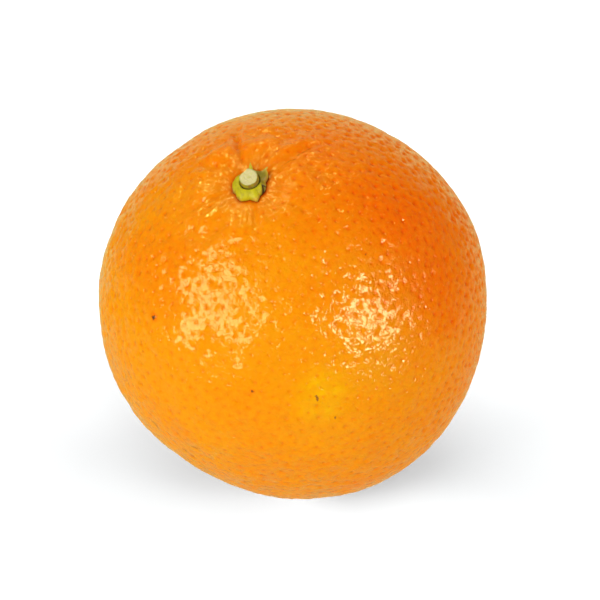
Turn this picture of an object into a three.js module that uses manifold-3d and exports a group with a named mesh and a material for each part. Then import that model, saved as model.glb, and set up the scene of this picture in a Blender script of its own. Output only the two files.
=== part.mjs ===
// A clementine as picked, resting on a table: the fruit, the green calyx that holds it,
// and the stub of stem that the clippers left.
// Millimetres, +Z up. The origin is the middle of the flat spot that the fruit rests on, and the
// stem end leans to the front left.
import * as THREE from "three";
import { mergeVertices } from "three/addons/utils/BufferGeometryUtils.js";
import Module from "manifold-3d";

const degrees = THREE.MathUtils.degToRad;

// ---- Driving dimensions ----

const EQUATOR_RADIUS = 30.8;
const AXIAL_STRETCH = 0.015; // how much further the poles stand from the middle, as a share
const STEM_LEAN = 19.5; // degrees that the stem axis leans from upright
const STEM_LEAN_TOWARDS = 229; // azimuth that it leans to, from +X through +Y
const SPOT_SINK = 0.42; // how far the fruit's own weight flattens the skin it rests on

// Broad highs and lows of the skin: where each is (polar angle from the stem and azimuth), how
// wide it is in degrees, and its height.
const SWELLINGS = [
  { polar: 124, azimuth: 298, spread: 17, height: 0.63 },
  { polar: 110, azimuth: 230, spread: 15, height: -0.63 },
  { polar: 99, azimuth: 356, spread: 16, height: -0.44 },
  { polar: 87, azimuth: 11, spread: 18, height: 0.46 },
  { polar: 62, azimuth: 164, spread: 22, height: 0.23 },
  { polar: 48, azimuth: 123, spread: 4.5, height: -0.35 },
];

// The hollow round the stem is a wide shallow dish with a narrower one in it, inside a low collar.
const DISH = { depth: 1.0, spread: 13 };
const INNER_DISH = { depth: 0.6, spread: 6.5 };
const COLLAR = { height: 0.3, polar: 15, spread: 5 };

// The blossom end is a little flattened, with a small pit where the style fell off.
const BLOSSOM_FLAT = { depth: 0.5, spread: 24 };
const BLOSSOM_PIT = { depth: 0.35, spread: 3.5 };

// Folds that run out from the stem: azimuth where a fold starts, how far it turns on its way
// out, the polar angles that it runs between, its depth and its half width.
const FOLDS = [
  { azimuth: 104, turn: -4, from: 8, to: 27, depth: 0.42, halfWidth: 0.85 },
  { azimuth: 33, turn: 6, from: 7, to: 24, depth: 0.42, halfWidth: 1.0 },
  { azimuth: 138, turn: 5, from: 10, to: 22, depth: 0.28, halfWidth: 1.0 },
  { azimuth: 190, turn: 4, from: 9, to: 22, depth: 0.2, halfWidth: 1.2 },
  { azimuth: 232, turn: -4, from: 9, to: 24, depth: 0.2, halfWidth: 1.3 },
  { azimuth: 274, turn: 2, from: 6, to: 17, depth: 0.22, halfWidth: 0.9 },
  { azimuth: 322, turn: 6, from: 8, to: 24, depth: 0.24, halfWidth: 1.3 },
];

const FOLD_FADE = 0.3; // how far a fold runs on past its ends, as a share of its length

const SKIN_COLUMNS = 64;
const SKIN_ROWS = 44;
const ROW_CROWDING = 0.4; // draws the rows of the skin's mesh towards the stem end

// The calyx lies on the skin as a thin star of sepals round a thicker flat seat.
const JOINT_GAP = 0.15; // the clearance left between pieces that really are grown together
const SEAT_RADIUS = 1.95;
const SEAT_THICKNESS = 1.2;
const SEPAL_THICKNESS = 0.4;
const NOTCH_RADIUS = 2.6; // how far out the calyx reaches between two sepals
const SEPALS = [
  { azimuth: 40, halfWidth: 30, length: 3.8, tipLift: 0.9 },
  { azimuth: 90, halfWidth: 22, length: 3.7, tipLift: 1.1 },
  { azimuth: 160, halfWidth: 34, length: 3.1, tipLift: 0.0 },
  { azimuth: 242, halfWidth: 36, length: 3.4, tipLift: 0.0 },
  { azimuth: 292, halfWidth: 28, length: 3.6, tipLift: 0.0 },
];
const LIFTED_SHARE = 0.7; // how much of a sepal's half width rises with its tip
const SEPAL_POINT = 1.5; // how pointed the sepals are: 1 has straight edges
const CALYX_COLUMNS = 60;
const CALYX_RINGS = 6;

const STUB_BASE_RADIUS = 1.6;
const STUB_TOP_RADIUS = 1.35;
const STUB_HEIGHT = 1.05; // at its middle, because the cut is slanted
const CUT_SLANT = 17; // degrees between the cut face and square across the stem
const CUT_FACES = 285; // azimuth that the slanted cut faces
const STUB_SIDES = 36;

// ---- The skin as a radius in every direction from the fruit's middle, in the stem's own frame ----

// A bump of height 1 at the middle, down to 0.37 one spread away from it.
function bell(value, middle, spread) {
  return Math.exp(-(((value - middle) / spread) ** 2));
}

// The unit vector at a polar angle from +Z and an azimuth from +X through +Y.
function towards(polar, azimuth) {
  const [p, a] = [degrees(polar), degrees(azimuth)];
  return new THREE.Vector3(Math.sin(p) * Math.cos(a), Math.sin(p) * Math.sin(a), Math.cos(p));
}

const SWELLING_CENTRES = SWELLINGS.map((s) => towards(s.polar, s.azimuth));

// The signed angle from one azimuth to another, from -180 to 180.
function azimuthGap(from, to) {
  return ((((to - from) % 360) + 540) % 360) - 180;
}

// A fold is deepest half way along, and fades out a little past both of its ends.
function foldDepth(fold, polar, azimuth) {
  const along = (polar - fold.from) / (fold.to - fold.from);
  const fromMiddle = (along - 0.5) / (1 + 2 * FOLD_FADE);
  if (Math.abs(fromMiddle) >= 0.5) return 0;
  const off = degrees(azimuthGap(fold.azimuth + fold.turn * along, azimuth));
  const aside = off * Math.sin(degrees(polar)) * EQUATOR_RADIUS;
  return fold.depth * bell(aside, 0, fold.halfWidth) * Math.cos(fromMiddle * Math.PI) ** 2;
}

function skinRadius(direction) {
  const polar = THREE.MathUtils.radToDeg(Math.acos(THREE.MathUtils.clamp(direction.z, -1, 1)));
  const azimuth = THREE.MathUtils.radToDeg(Math.atan2(direction.y, direction.x));
  let radius = EQUATOR_RADIUS * (1 + AXIAL_STRETCH * direction.z ** 2);
  SWELLINGS.forEach((swelling, i) => {
    const nearness = direction.dot(SWELLING_CENTRES[i]) - 1;
    radius += swelling.height * Math.exp(nearness / degrees(swelling.spread) ** 2);
  });
  radius -= DISH.depth * bell(polar, 0, DISH.spread);
  radius -= INNER_DISH.depth * bell(polar, 0, INNER_DISH.spread);
  radius += COLLAR.height * bell(polar, COLLAR.polar, COLLAR.spread);
  radius -= BLOSSOM_FLAT.depth * bell(polar, 180, BLOSSOM_FLAT.spread);
  radius -= BLOSSOM_PIT.depth * bell(polar, 180, BLOSSOM_PIT.spread);
  for (const fold of FOLDS) radius -= foldDepth(fold, polar, azimuth);
  return radius;
}

// ---- Putting the stem's frame into the part's frame ----

const leanAxis = new THREE.Vector3(
  -Math.sin(degrees(STEM_LEAN_TOWARDS)), Math.cos(degrees(STEM_LEAN_TOWARDS)), 0);
const lean = new THREE.Quaternion().setFromAxisAngle(leanAxis, degrees(STEM_LEAN));
const down = new THREE.Vector3(0, 0, -1);

// The deepest point of the leaning skin, found on a fine fan of directions round straight down.
function lowestSkinPoint() {
  const back = lean.clone().invert();
  let lowest = new THREE.Vector3();
  for (let polar = 140; polar <= 180; polar += 0.25) {
    for (let azimuth = 0; azimuth < 360; azimuth += 2) {
      const direction = towards(polar, azimuth);
      const radius = skinRadius(direction.clone().applyQuaternion(back));
      const point = direction.multiplyScalar(radius);
      if (point.z < lowest.z) lowest = point;
    }
  }
  return lowest;
}

const deepest = lowestSkinPoint();
const placing = new THREE.Matrix4().compose(
  new THREE.Vector3(-deepest.x, -deepest.y, -deepest.z - SPOT_SINK),
  lean, new THREE.Vector3(1, 1, 1));

// ---- Meshes ----

// A closed geometry from rings of points, of which the first and the last hold one point each.
function closedRings(rings) {
  const columns = rings[1].length;
  const vertices = [];
  const faces = [];
  rings.forEach((ring) => ring.forEach((p) => vertices.push(p.x, p.y, p.z)));
  const start = (row) => (row === 0 ? 0 : 1 + (row - 1) * columns);
  const last = rings.length - 1;
  for (let i = 0; i < columns; i++) {
    const next = (i + 1) % columns;
    faces.push(0, start(1) + i, start(1) + next);
    for (let row = 1; row < last - 1; row++) {
      const [a, b] = [start(row), start(row + 1)];
      faces.push(a + i, b + i, b + next, a + i, b + next, a + next);
    }
    faces.push(start(last - 1) + i, start(last), start(last - 1) + next);
  }
  const geometry = new THREE.BufferGeometry();
  geometry.setAttribute("position", new THREE.Float32BufferAttribute(vertices, 3));
  geometry.setIndex(faces);
  return geometry;
}

function ringOf(columns, pointAt) {
  return Array.from({ length: columns }, (_, i) => pointAt((i * 360) / columns));
}

function skinGeometry() {
  const rings = [];
  for (let row = 0; row <= SKIN_ROWS; row++) {
    const even = (Math.PI * row) / SKIN_ROWS;
    const polar = THREE.MathUtils.radToDeg(even - ROW_CROWDING * Math.sin(even));
    const point = (azimuth) => {
      const direction = towards(polar, azimuth);
      return direction.multiplyScalar(skinRadius(direction));
    };
    rings.push(row === 0 || row === SKIN_ROWS ? [point(0)] : ringOf(SKIN_COLUMNS, point));
  }
  return closedRings(rings);
}

// How far the calyx reaches from the stem's axis at an azimuth: the star's outline.
function calyxReach(azimuth) {
  let reach = NOTCH_RADIUS;
  for (const sepal of SEPALS) {
    const off = Math.abs(azimuthGap(sepal.azimuth, azimuth)) / sepal.halfWidth;
    const share = Math.max(0, 1 - off) ** SEPAL_POINT;
    reach = Math.max(reach, NOTCH_RADIUS + (sepal.length - NOTCH_RADIUS) * share);
  }
  return reach;
}

// How far the calyx stands up from the skin: nothing under its seat, and most at a lifted tip.
function sepalLift(azimuth, out) {
  let lift = 0;
  for (const sepal of SEPALS) {
    const rise = Math.max(0, out - SEAT_RADIUS) / (sepal.length - SEAT_RADIUS);
    const off = azimuthGap(sepal.azimuth, azimuth) / sepal.halfWidth;
    lift += sepal.tipLift * rise ** 2 * bell(off, 0, LIFTED_SHARE);
  }
  return lift;
}

// The skin at a distance out from the stem's axis: the direction of that point and its radius.
function skinPointAt(out, azimuth) {
  const polar = THREE.MathUtils.radToDeg(Math.asin(out / EQUATOR_RADIUS));
  const direction = towards(polar, azimuth);
  return { direction, radius: skinRadius(direction) };
}

const SEAT_HEIGHT = skinPointAt(0, 0).radius + JOINT_GAP + SEAT_THICKNESS;

// The star between its underside, which follows the skin, and its top, which is level over the
// seat and keeps the sepals' thickness outside it.
function calyxGeometry() {
  const under = (out, azimuth) => {
    const { direction, radius } = skinPointAt(out, azimuth);
    return direction.multiplyScalar(radius + JOINT_GAP + sepalLift(azimuth, out));
  };
  const over = (out, azimuth) => {
    const point = under(out, azimuth);
    const share = THREE.MathUtils.smoothstep(out, SEAT_RADIUS, NOTCH_RADIUS);
    const sepalTop = point.z + SEPAL_THICKNESS;
    point.z = THREE.MathUtils.lerp(SEAT_HEIGHT, sepalTop, share);
    return point;
  };
  const rings = [[under(0, 0)]];
  for (let ring = 1; ring <= CALYX_RINGS; ring++) {
    rings.push(ringOf(CALYX_COLUMNS, (a) => under((calyxReach(a) * ring) / CALYX_RINGS, a)));
  }
  for (let ring = CALYX_RINGS; ring >= 1; ring--) {
    rings.push(ringOf(CALYX_COLUMNS, (a) => over((calyxReach(a) * ring) / CALYX_RINGS, a)));
  }
  rings.push([over(0, 0)]);
  return closedRings(rings.reverse());
}

// A short stump of stem on the calyx's seat, flared at its foot, with its top cut on a slant.
function stubGeometry() {
  const profile = [
    [0, 0],
    [STUB_BASE_RADIUS, 0],
    [STUB_BASE_RADIUS, 0.25 * STUB_HEIGHT],
    [STUB_TOP_RADIUS, 0.6 * STUB_HEIGHT],
    [STUB_TOP_RADIUS, STUB_HEIGHT],
    [0, STUB_HEIGHT],
  ].map(([out, up]) => new THREE.Vector2(out, up));
  const geometry = new THREE.LatheGeometry(profile, STUB_SIDES).rotateX(Math.PI / 2);
  const fall = towards(90, CUT_FACES).multiplyScalar(Math.tan(degrees(CUT_SLANT)));
  const position = geometry.attributes.position;
  const point = new THREE.Vector3();
  for (let i = 0; i < position.count; i++) {
    point.fromBufferAttribute(position, i);
    position.setZ(i, point.z - point.dot(fall) * (point.z / STUB_HEIGHT) ** 2);
  }
  return geometry.translate(0, 0, SEAT_HEIGHT + JOINT_GAP);
}

// ---- The flat spot, cut level by the table ----

const wasm = await Module();
wasm.setup();

function solidOf(geometry) {
  const bare = geometry.clone();
  bare.deleteAttribute("normal");
  bare.deleteAttribute("uv");
  const merged = mergeVertices(bare, 1e-4);
  return new wasm.Manifold(new wasm.Mesh({
    numProp: 3,
    vertProperties: merged.attributes.position.array,
    triVerts: new Uint32Array(merged.index.array),
  }));
}

function geometryOf(solid) {
  const mesh = solid.getMesh();
  const geometry = new THREE.BufferGeometry();
  geometry.setAttribute("position", new THREE.BufferAttribute(mesh.vertProperties, 3));
  geometry.setIndex(new THREE.BufferAttribute(mesh.triVerts, 1));
  geometry.computeVertexNormals();
  return geometry;
}

function restingFruit() {
  const width = 4 * EQUATOR_RADIUS;
  const table = new THREE.BoxGeometry(width, width, width).translate(0, 0, -width / 2);
  const fruit = skinGeometry().applyMatrix4(placing);
  return geometryOf(solidOf(fruit).subtract(solidOf(table)));
}

// ---- The part ----

const rind = new THREE.MeshStandardMaterial({ color: 0xf68a0b, roughness: 0.35, metalness: 0 });
const sepalGreen = new THREE.MeshStandardMaterial({ color: 0xb9b02c, roughness: 0.6, metalness: 0 });
const cutWood = new THREE.MeshStandardMaterial({ color: 0xb9b27a, roughness: 0.8, metalness: 0 });

function piece(name, geometry, material) {
  const mesh = new THREE.Mesh(geometry, material);
  mesh.name = name;
  return mesh;
}

const stemEnd = new THREE.Group();
stemEnd.applyMatrix4(placing);
stemEnd.add(piece("calyx", calyxGeometry(), sepalGreen));
stemEnd.add(piece("stem_stub", stubGeometry(), cutWood));

const clementine = new THREE.Group();
clementine.name = "clementine";
clementine.add(piece("fruit", restingFruit(), rind), stemEnd);

export default clementine;
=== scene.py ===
"""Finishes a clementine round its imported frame.

The rind, the calyx and the clipped stub of stem stand for the frame's three nodes, on a pale
table under studio lights. Shapes are worked out in millimetres in the stem's frame (+Z along the
stem, origin in the fruit's middle), then leaned over and set down on the table, in metres.
"""

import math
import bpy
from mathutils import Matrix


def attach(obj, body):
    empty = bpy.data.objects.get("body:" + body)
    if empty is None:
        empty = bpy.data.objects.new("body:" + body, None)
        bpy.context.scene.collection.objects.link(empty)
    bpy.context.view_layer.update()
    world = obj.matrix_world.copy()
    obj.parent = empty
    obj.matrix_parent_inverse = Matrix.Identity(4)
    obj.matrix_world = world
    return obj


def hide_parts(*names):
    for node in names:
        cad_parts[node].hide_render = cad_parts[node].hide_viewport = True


bl_info = {
    "name": "Clementine",
    "version": (1, 0, 0),
    "blender": (4, 5, 0),
    "location": "3D View > Sidebar > Clementine",
    "description": "Makes a clementine with its calyx and clipped stem, on a pale table",
    "category": "Add Mesh",
}

from collections import namedtuple

import bpy
import numpy as np
from mathutils import Vector

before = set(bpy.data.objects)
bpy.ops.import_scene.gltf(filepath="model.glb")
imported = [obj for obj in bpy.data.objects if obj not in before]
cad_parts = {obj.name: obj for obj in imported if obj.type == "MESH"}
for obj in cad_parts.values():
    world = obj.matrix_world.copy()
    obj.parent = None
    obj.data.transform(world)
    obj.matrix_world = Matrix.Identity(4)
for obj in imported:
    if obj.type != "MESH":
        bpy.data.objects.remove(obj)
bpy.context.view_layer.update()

MM = 0.001  # metres in a millimetre

# ---- The form of the fruit, as its frame has it ----

AXIAL_STRETCH = 0.015  # how much further the poles stand from the middle, as a share
STEM_LEAN = 19.5  # degrees that the stem axis leans from upright
STEM_LEAN_TOWARDS = 229  # azimuth that it leans to, from +X through +Y
SPOT_SINK = 0.42  # millimetres that the fruit's weight flattens the skin it rests on

# Broad highs and lows of the skin: polar angle from the stem, azimuth, spread and height.
SWELLINGS = (
    (124, 298, 17, 0.63), (110, 230, 15, -0.63), (99, 356, 16, -0.44),
    (87, 11, 18, 0.46), (62, 164, 22, 0.23), (48, 123, 4.5, -0.35))

# Rings round the stem axis: height, the polar angle of the middle, and spread.
RINGS = (
    (-1, 0, 13),  # the dish that the stem end lies in
    (-0.6, 0, 6.5),  # the narrower dish under the calyx
    (0.3, 15, 5),  # the low collar round the dish
    (-0.5, 180, 24),  # the flattened blossom end
    (-0.35, 180, 3.5),  # the pit where the style fell off
)

# Folds that run out from the stem: azimuth where a fold starts, how far it turns on its way
# out, the polar angles that it runs between, its depth and its half width.
Fold = namedtuple("Fold", "azimuth turn start end depth half_width")
FOLDS = (
    Fold(104, -4, 8, 27, 0.42, 0.85),
    Fold(33, 6, 7, 24, 0.42, 1),
    Fold(138, 5, 10, 22, 0.28, 1),
    Fold(190, 4, 9, 22, 0.2, 1.2),
    Fold(232, -4, 9, 24, 0.2, 1.3),
    Fold(274, 2, 6, 17, 0.22, 0.9),
    Fold(322, 6, 8, 24, 0.24, 1.3),
)
FOLD_LENGTH = 1.6  # of a fold with its faint ends, in lengths of its line
CREASE_LENGTH = 1.25  # of the crease in it

# ---- The rind's surface ----

RIND_CELLS = 128  # squares of the rind's mesh along each edge of the cube it grows from
CROWDING = 0.3  # draws the mesh towards the stem end, where the detail is finest
GLAND_ROUNDS = 14  # rounds in which neighbouring glands push each other apart
PUSH = 0.35  # the strongest push, as a share of the mean spacing
PUSH_REACH = 1.15  # how near a neighbour pushes, as a share of the mean spacing
SMALL_GLANDS = 2.4  # small glands tried for each large one
GLAND_REACH = 2.4  # millimetres from a gland's middle that its bowl is worked out to
PLEAT_COUNTS = (17, 61)  # fewest and most waves of the pleats in one turn round the stem
CRINKLED_SIDE = (70, 20)  # polar angle and azimuth where the skin is most finely crinkled

# Where the bowls are deeper: polar angle, azimuth, the cosine that it starts at, and how much.
DEEPER_BOWLS = ((64, 20, 0.55, 1.2), (55, 172, 0.5, 0.7))

RIPPLE_COSINES = 70  # waves in each random height
# Random heights over the whole rind: shortest and longest wave and their deviation, and the
# share that is left where the skin is finely crinkled.
RIPPLES = (((8, 14, 0.05), 0.3), ((3.4, 6, 0.03), 0.5), ((1.3, 2.3, 0.022), 0.5))
COLLAR_RIPPLE = (3.5, 7, 0.12)  # the lumps of the collar round the stem's dish

# How little the skin has coloured: in the middle, its slope over the fruit, its blotches, and
# spots with their polar angle, azimuth, spread and change.
PALE_MIDDLE = 0.51
PALE_SLOPE = (-0.145, -0.375, 0.19)
BLOTCHES = (18, 40, 0.04)
PALE_SPOTS = (
    (63, -25, 16, -0.36), (36, -10, 18, -0.52), (80, 180, 28, 0.6),
    (72, -72, 13, 0.25), (15, 30, 20, -0.12), (29, 196, 14, -0.1),
    (108, -74, 18, -0.08))

# Marks on the rind: polar angle, azimuth, radius in millimetres.
DARK_SPECKS = (
    (47.2, 220.4, 0.28), (60.9, 262, 0.17), (39.4, 323.9, 0.13), (52.1, 232.5, 0.1),
    (58.9, 219.7, 0.09), (96, 80, 0.35), (118, 20, 0.3), (83, 150, 0.28))
BROWN_SCUFFS = (
    (66.5, 281.1, 0.24), (65.9, 281, 0.16), (67.2, 281, 0.2), (74.9, 284.1, 0.2),
    (104, 55, 0.6), (88, 118, 0.5))
YELLOW_PATCH = (66.4, 282.2, 3.3)

# The finest relief: facets' scale, and slant on smooth and on crinkled skin; hair-thin creases.
FACETS = ((560, 0.26, 0.12), (1250, 0.08, 0.23))
HAIR_CREASE_SCALES = (520, 760)
HAIR_CREASE_DEPTH = 0.015
LEAST_SPREAD = 0.001  # of a gland's shade where there is no gland
HALF = (0.5, 0.5, 0.5)

# Painted shade: darker, redder skin round the stem, in its dish.
STEM_DISH_SHADE = (0.75, 0.072, 0)
# Painted shade on the skin by the calyx's edge, and a painted shadow on the thin line right under
# that edge.
SHADED_SKIN = (0.5, 0.03, 0)
CALYX_EDGE_SHADOW = (0.1, 0.002, 0)
SCUFF_BROWN = (0.3, 0.06, 0.005)
SPECK_BROWN = (0.08, 0.014, 0.003)

# ---- The calyx and the stub ----

SEAT_RADIUS = 1.6
SEAT_HEIGHT = 1.52  # over the bottom of the dish
CALYX_THICKNESS = 0.42
CALYX_CLEARANCE = 0.05
PLATE_RADIUS = 2.68
# Azimuth, spread and height of the plate's bulges, and of the hollows in the finished edge.
PLATE_BULGES = ((120, 26, 0.1), (350, 24, -0.1), (58, 13, 0.1))
SEPAL_HOLLOWS = ((208, 9, 0.16), (4, 11, 0.2))
SEPAL_SWELL = 0.18
CREASE_DEPTH = 0.04
GROOVE_DEPTH = 0.32  # of the ring at the stub's foot
SCRAP_DROP = 0.34  # from the sepals to the scrap in the notch
VEINS = (2, 5, 0.006)
CALYX_COLUMNS = 360
CALYX_RINGS = 56

# Sepals: azimuth, half width in degrees, length from the axis, and how far the tip stands up.
# The taper is the power that its width falls off with: below 1 is blunt, above 1 is sharp.
Sepal = namedtuple("Sepal", "azimuth half_width length lift taper")
SEPALS = (
    Sepal(27, 26, 3.3, 0.5, 0.6),
    Sepal(32.5, 6, 3.75, 0.8, 1),
    Sepal(83, 10, 3.6, 0.95, 1.4),
    Sepal(165, 28, 2.78, 0, 1.2),
    Sepal(242, 34, 3.1, 0, 1.3),
    Sepal(288, 22, 3.58, 0, 1.4),
)
CREASES = (352, 68, 122, 200, 283)  # azimuths of the creases between the sepals
NOTCH_AZIMUTH = 339  # where a withered scrap lies tucked under its neighbours
NOTCH_RADIUS = 2.1

STUB_SHIFT = 0.25  # along X, from the stem axis
STUB_BASE_RADIUS = 1.43
STUB_TOP_RADIUS = 1.36
STUB_HEIGHT = 1.02
CUT_SLANT = 17
CUT_FACES = 285
CHAMFER_SLANT = 62
CHAMFER_FACES = 134
CHAMFER_OUT = 1.06  # how far out from the stub's axis the chamfer meets the cut
STUB_SINK = 0.06  # of its foot in the calyx
# Shares of the radius and of the height, up the side, over the rim and in to the middle.
STUB_OUTLINE = (
    (0.98, 0), (1, 0.06), (1, 0.16), (0.99, 0.3), (0.97, 0.48), (0.955, 0.66),
    (0.95, 0.82), (0.95, 0.93), (0.94, 0.985), (0.915, 1), (0, 1))
GRAIN = (0.35, 0.9, 0.02)
STUB_COLUMNS = 240
STUB_RINGS = 90

TIP_STRAW = (0.66, 0.42, 0.03)
# Painted shade in the groove at the stub's foot and low on the stub's side.
GROOVE_SHADE = (0.07, 0.045, 0)
SCRAP_BROWN = (0.30, 0.24, 0.03)
# Painted shadow in the gap between the sepals and the scrap in the notch.
NOTCH_GAP_SHADOW = (0.02, 0, 0)
BARK_BROWN = (0.30, 0.17, 0.015)
WOOD_RING = (0.47, 0.45, 0.14)
WOOD_PITH = (0.58, 0.53, 0.15)
WOOD_RIM = (0.42, 0.44, 0.13)
WOOD_TAN = (0.62, 0.42, 0.22)
WOOD_GREEN = (0.60, 0.56, 0.12)


# ---- The stage ----

# Soft boxes: azimuth from the front (right is positive) and elevation in degrees, distance,
# width and height in metres, the radiance that matt surfaces gather, the radiance that glossy
# surfaces mirror and how blue that is, and whether it lights the table alone.
SoftBox = namedtuple(
    "SoftBox", "name azimuth elevation distance width height matt mirrored blue table_only",
    defaults=(False,))
SOFT_BOXES = (
    ("left_soft_box", -49.5, 25, 0.8, 0.54, 0.47, 2.7, 7.8, 1),
    ("right_soft_box", 46, 18, 0.8, 0.36, 0.35, 1.5, 15.6, 1.2),
    ("overhead_box", -143, 50, 0.8, 0.34, 0.08, 0, 20, 0.4),
    ("overhead_strip", 165, 58, 0.8, 0.24, 0.06, 0, 20, 0.4),
    ("front_fill", 0, 15, 1, 0.8, 0.6, 0.8, 0, 1),
    ("right_low_light", 120, 4.5, 1.5, 1.5, 0.12, 1370, 0, 1, True),
    ("left_low_light", -105, 4.5, 1.5, 1.5, 0.12, 4140, 0, 1, True),
    ("right_back_light", 120, 38, 1, 1, 0.5, 54, 0, 1, True),
    ("left_front_light", -45, 26, 1, 0.4, 0.35, 238, 0, 1, True),
    ("right_front_light", 60, 17, 1, 0.4, 0.25, 444, 0, 1, True),
    ("front_light", 0, 55, 1, 0.4, 0.6, 53, 0, 1, True),
)
LAMP_GAP = 0.05  # between the two lamps of a box, so that neither hides the other
SKY_LIGHT = 0.84  # radiance of the surroundings where matt surfaces gather it
SKY_SHOWN = 1  # where the camera sees it
SKY_MIRRORED_OVERHEAD = (0.04, 0.04, 0.04)  # where glossy surfaces mirror it, above the table
SKY_MIRRORED_UNDER = (0.92, 0.56, 0.2)  # well below, where the fruit warms the table
SKY_MIRRORED_BACK = (0.78, 0.82, 0.38)  # and the bright table far behind the fruit
SKY_BACK_HEADING = (0.02, 0.98, -0.16)
TABLE_HALF_WIDTH = 0.5
TABLE_GAP = 0.02  # millimetres between the table and the fruit
AIM_RIGHT = 0.956  # millimetres from the fruit's middle to where the camera looks
AIM_UP = 0.574


# ---- Settings that a user would change ----


class RindSettings(bpy.types.PropertyGroup):
    equator_radius: bpy.props.FloatProperty(
        name="Equator radius", description="Radius of the fruit midway between its ends",
        default=30.8 * MM, min=20 * MM, max=45 * MM, unit="LENGTH", precision=4)
    gland_spacing: bpy.props.FloatProperty(
        name="Gland spacing", description="Mean distance between neighbouring large oil glands",
        default=1.9 * MM, min=1.2 * MM, max=5 * MM, unit="LENGTH", precision=4)
    gland_depth: bpy.props.FloatProperty(
        name="Gland depth", description="Depth of the bowl in the skin over a large oil gland",
        default=0.15 * MM, min=0.0, max=0.3 * MM, unit="LENGTH", precision=5)
    pore_depth: bpy.props.FloatProperty(
        name="Pore depth", description="Depth of the narrow pore in the middle of each bowl",
        default=0.085 * MM, min=0.0, max=0.3 * MM, unit="LENGTH", precision=5)
    ripe_colour: bpy.props.FloatVectorProperty(
        name="Ripe colour", description="Skin where it has coloured most deeply",
        default=(0.95, 0.13, 0.0), subtype="COLOR")
    light_colour: bpy.props.FloatVectorProperty(
        name="Light colour", description="Skin where it has coloured least",
        default=(0.95, 0.33, 0.002), subtype="COLOR")
    # Also gives the painted shade in the glands' pits.
    pore_colour: bpy.props.FloatVectorProperty(
        name="Pore colour", description="Oil glands showing through the skin",
        default=(0.9, 0.085, 0.0), subtype="COLOR")
    patch_colour: bpy.props.FloatVectorProperty(
        name="Patch colour", description="The yellow patch on the front of the fruit",
        default=(0.97, 0.51, 0.0), subtype="COLOR")


class StemEndSettings(bpy.types.PropertyGroup):
    calyx_colour: bpy.props.FloatVectorProperty(
        name="Calyx colour", description="The fresh sepals",
        default=(0.57, 0.485, 0.0), subtype="COLOR")
    olive_colour: bpy.props.FloatVectorProperty(
        name="Olive colour", description="The shaded, drying sepals",
        default=(0.25, 0.18, 0.01), subtype="COLOR")
    dry_colour: bpy.props.FloatVectorProperty(
        name="Dry colour", description="Withered edges and tips of the sepals",
        default=(0.45, 0.22, 0.05), subtype="COLOR")
    bark_colour: bpy.props.FloatVectorProperty(
        name="Bark colour", description="The side of the stem stub",
        default=(0.36, 0.30, 0.005), subtype="COLOR")
    cut_colour: bpy.props.FloatVectorProperty(
        name="Cut colour", description="The clipped face of the stem stub",
        default=(0.66, 0.58, 0.27), subtype="COLOR")


class StageSettings(bpy.types.PropertyGroup):
    camera_elevation: bpy.props.FloatProperty(
        name="Camera elevation", description="How far the camera looks down from level",
        default=math.radians(38.0), min=0.0, max=math.pi / 2, subtype="ANGLE", unit="ROTATION")
    camera_distance: bpy.props.FloatProperty(
        name="Camera distance", description="From the camera to the middle of the fruit",
        default=0.3984, min=0.1, max=5.0, unit="LENGTH", precision=4)
    camera_lens: bpy.props.FloatProperty(
        name="Camera lens", description="Focal length on a 36 mm sensor",
        default=150.0, min=20.0, max=400.0, unit="CAMERA")
    table_colour: bpy.props.FloatVectorProperty(
        name="Table colour", description="The pale table",
        default=(0.05, 0.0508, 0.051), subtype="COLOR")


# ---- Numbers and directions ----


def bell(value, middle, spread):
    """A bump of height 1: e to the minus square of the distance from its middle, in spreads."""
    return np.exp(-(((value - middle) / spread) ** 2))


def ease(value, low, high):
    """0 below low, 1 above high, and 3t^2 - 2t^3 of the share t between them."""
    share = np.clip((value - low) / (high - low), 0, 1)
    return share * share * (3 - 2 * share)


def towards(polar, azimuth):
    """Unit vectors at polar angles from +Z and azimuths from +X, in degrees."""
    polar, azimuth = np.broadcast_arrays(np.radians(polar), np.radians(azimuth))
    across = np.sin(polar)
    return np.stack([across * np.cos(azimuth), across * np.sin(azimuth), np.cos(polar)], -1)


def angles_of(directions):
    """Polar angles and azimuths of unit vectors: the reverse of towards."""
    polar = np.degrees(np.arccos(np.clip(directions[..., 2], -1, 1)))
    return polar, np.degrees(np.arctan2(directions[..., 1], directions[..., 0]))


def unit(vectors):
    """The vectors at length 1."""
    return vectors / np.linalg.norm(vectors, axis=-1, keepdims=True)


def azimuth_gap(start, end):
    """The signed angle from one azimuth to another, from -180 to 180 degrees."""
    return (end - start + 180) % 360 - 180


def sector(azimuth, middle, spread):
    """A bell of the azimuth round a middle."""
    return bell(azimuth_gap(middle, azimuth), 0, spread)


# ---- The smooth skin ----


def equator_radius():
    """The fruit's radius midway between its ends, in millimetres."""
    return bpy.context.scene.clementine_rind.equator_radius / MM


def across_fold(fold, polar, azimuth, length):
    """How far aside of a fold's line, in millimetres, and how much of the fold is left there: a
    squared cosine along some lengths of the line."""
    along = (polar - fold.start) / (fold.end - fold.start)
    off = np.radians(azimuth_gap(fold.azimuth + fold.turn * along, azimuth))
    aside = off * np.sin(np.radians(polar)) * equator_radius()
    return aside, np.cos(np.clip((along - 0.5) / length, -0.5, 0.5) * np.pi) ** 2


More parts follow.
